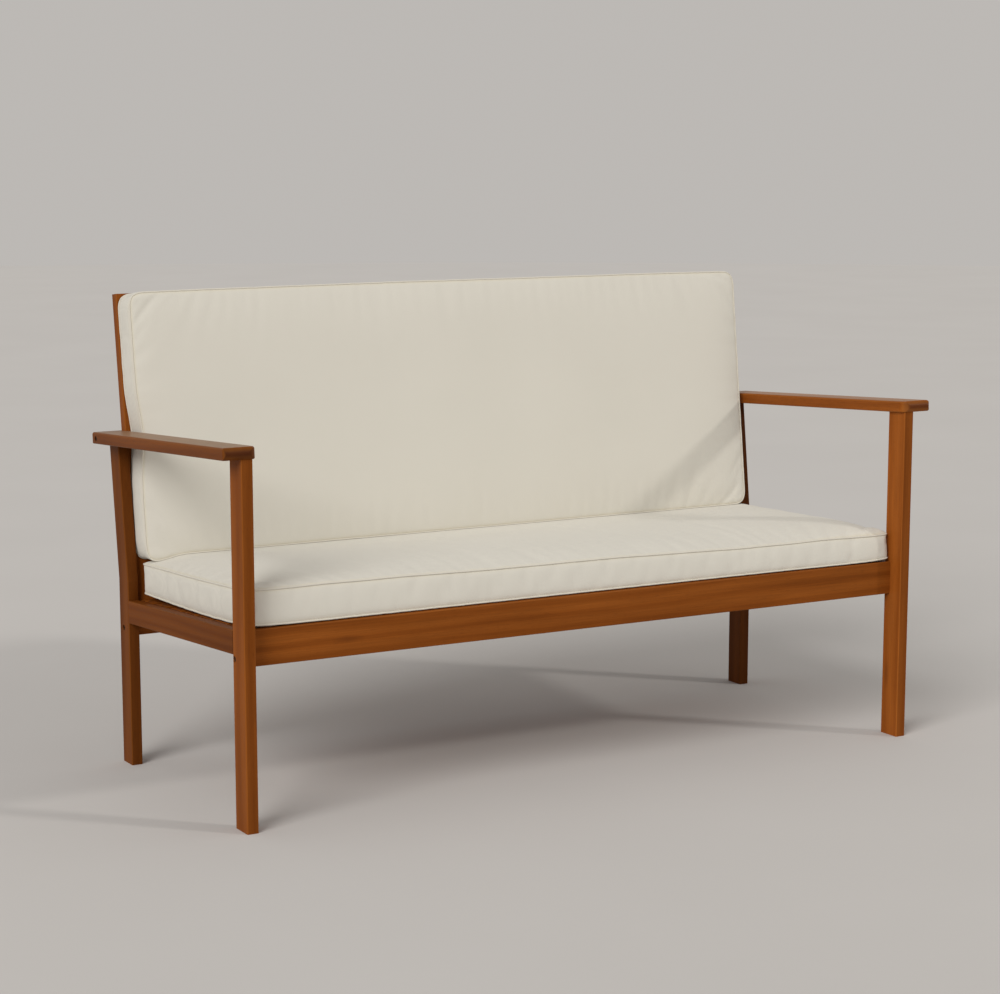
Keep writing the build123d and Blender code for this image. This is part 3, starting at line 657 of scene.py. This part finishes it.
def seat_drawn(x, y, z):
    """The rear corners curl up off the slats, the left end is stuffed fuller, and the
    top turns over into both ends with a full round shoulder."""
    width, length, thick = seat_size
    share_x = 2 * x / width
    share_y = 2 * y / length
    rear = (1 + share_y) / 2
    ends = abs(share_x)
    wave = noise.noise(Vector((x * 4.2, 3.1, y * 1.5)))
    wave += 0.4 * noise.noise(Vector((x * 11, 3.1, 4)))
    wavy = 0.003 * wave * abs(share_y) ** 3
    fuller_left = 0.0065 * share_x * (1 - rear)
    top = wavy - fuller_left + 0.011 * rear * rear * ends ** 3
    rear_curl = 0.012 * rear * rear * ends ** 6
    front_curl = 0.0045 * (1 - rear) ** 8 * ends ** 16
    low = rear_curl + front_curl
    if z > thick - on_seam:
        inside = max(min(width / 2 - abs(x), length / 2 - abs(y)), 0)
        shoulder = 0.017 if x > 0 else 0.007
        top += shoulder * (1 - exp(-inside / 0.014)) * ends ** 3
    end_pull = share_x * 0.002 * (1 - share_y ** 4)
    side_pull = share_y * (0.003 if y < 0 else 0.002) * (1 - ends ** 4)
    rear_corners = 0.018 * rear ** 4 * ends ** 8
    right_front = max(share_x, 0) ** 6 * (1 - rear) ** 2
    return Vector((
        x - end_pull + 0.0006 * share_x,
        y - side_pull - rear_corners - 0.0065 * right_front,
        z + low + (top - low) * z / thick,
    ))


def lap_height(x):
    """How high over the slats the seat's top lies, pressed level, under the back
    cushion. It falls away at the left end, and the back cushion hangs down there."""
    return lap_level - lap_fall * eased(part_way(x, *lap_fall_x))


seat_cover = sewn_cushion(
    "seat_cushion_cover", seat_size, corner=0.009, drawn=seat_drawn,
    swell=(0.0225, 0.0025, 0.012), seed=3.1,
)
for vertex in seat_cover.data.vertices:
    local = vertex.co + Vector((0, seat_middle, cover_gap))
    local.z = max(local.z, cover_gap)
    if local.z > top_from:
        behind = part_way(local.y, *press_rear)
        inward = part_way(abs(local.x), *press_ends)
        pressed = eased(part_way(local.y, *press_front)) * behind * inward * (2 - inward)
        local.z += (lap_height(local.x) - local.z) * pressed
        if local.y > lap_from:
            local.z = min(local.z, lap_height(local.x))
    vertex.co = seat_axes @ local
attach(seat_cover, "seat_cushion")
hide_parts("seat_cushion", "seat_cushion_foam")

# The back cushion is made the same way and stands on the rear of the seat cushion,
# leaning on the back frame, a little to the left of the middle.
back_axes = Matrix((            # X to the right, Y up along the back, Z forward off it
    (1, 0, 0, 0),
    (0, sin(tilt), -cos(tilt), 0.219315),
    (0, cos(tilt), sin(tilt), 0.330),
    (0, 0, 0, 1),
))
back_size = (1.264, 0.4565, 0.0535)
back_middle = 0.2710            # of the cushion, above the knee of the rear legs
back_shift = 0.0085             # of the cushion, to the left
foot_plain = 0.0427             # height of its foot before that is laid on the seat
foot_reach = (0.1, 0.043)       # the cover is drawn to the foot over this stretch
cover_between = 0.0003          # between the two covers
lean = tilt - slope             # between the back's axes and the seat's


def back_drawn(x, y, z):
    """The cushion sits a little to the left, where the arm nips it. Its upper edge
    rises a little to the middle."""
    width, length = back_size[:2]
    share_x = 2 * x / width
    share_y = 2 * y / length
    squeeze = 0.0078 * exp(-((share_y + 0.09) / 0.24) ** 2) * max(-share_x, 0)
    rise = 0.003 * max(share_y, 0) ** 2 * (1 - share_x * share_x)
    wave = noise.noise(Vector((x * 4.2, 8.6, y * 1.5)))
    wavy = 0.0012 * wave * abs(share_y) ** 3
    return Vector((x - back_shift + squeeze, y + rise + wavy, z))


to_seat = (seat_axes.inverted() @ back_axes.translation).z
back_cover = sewn_cushion(
    "back_cushion_cover", back_size, corner=0.022, drawn=back_drawn,
    swell=(0.0105, 0.0028, 0.005), seed=8.6,
)
for vertex in back_cover.data.vertices:
    local = vertex.co + Vector((0, back_middle, cover_gap))
    local.z = max(local.z, cover_gap)
    # its foot lies flat along the seat's top
    foot = lap_height(local.x) + cover_between - to_seat
    foot = (foot - sin(lean) * local.z) / cos(lean)
    drawn_down = (foot - foot_plain) * eased(part_way(local.y, *foot_reach))
    local.y = max(local.y + drawn_down, foot)
    vertex.co = back_axes @ local
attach(back_cover, "back_cushion")
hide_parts("back_cushion", "back_cushion_foam")
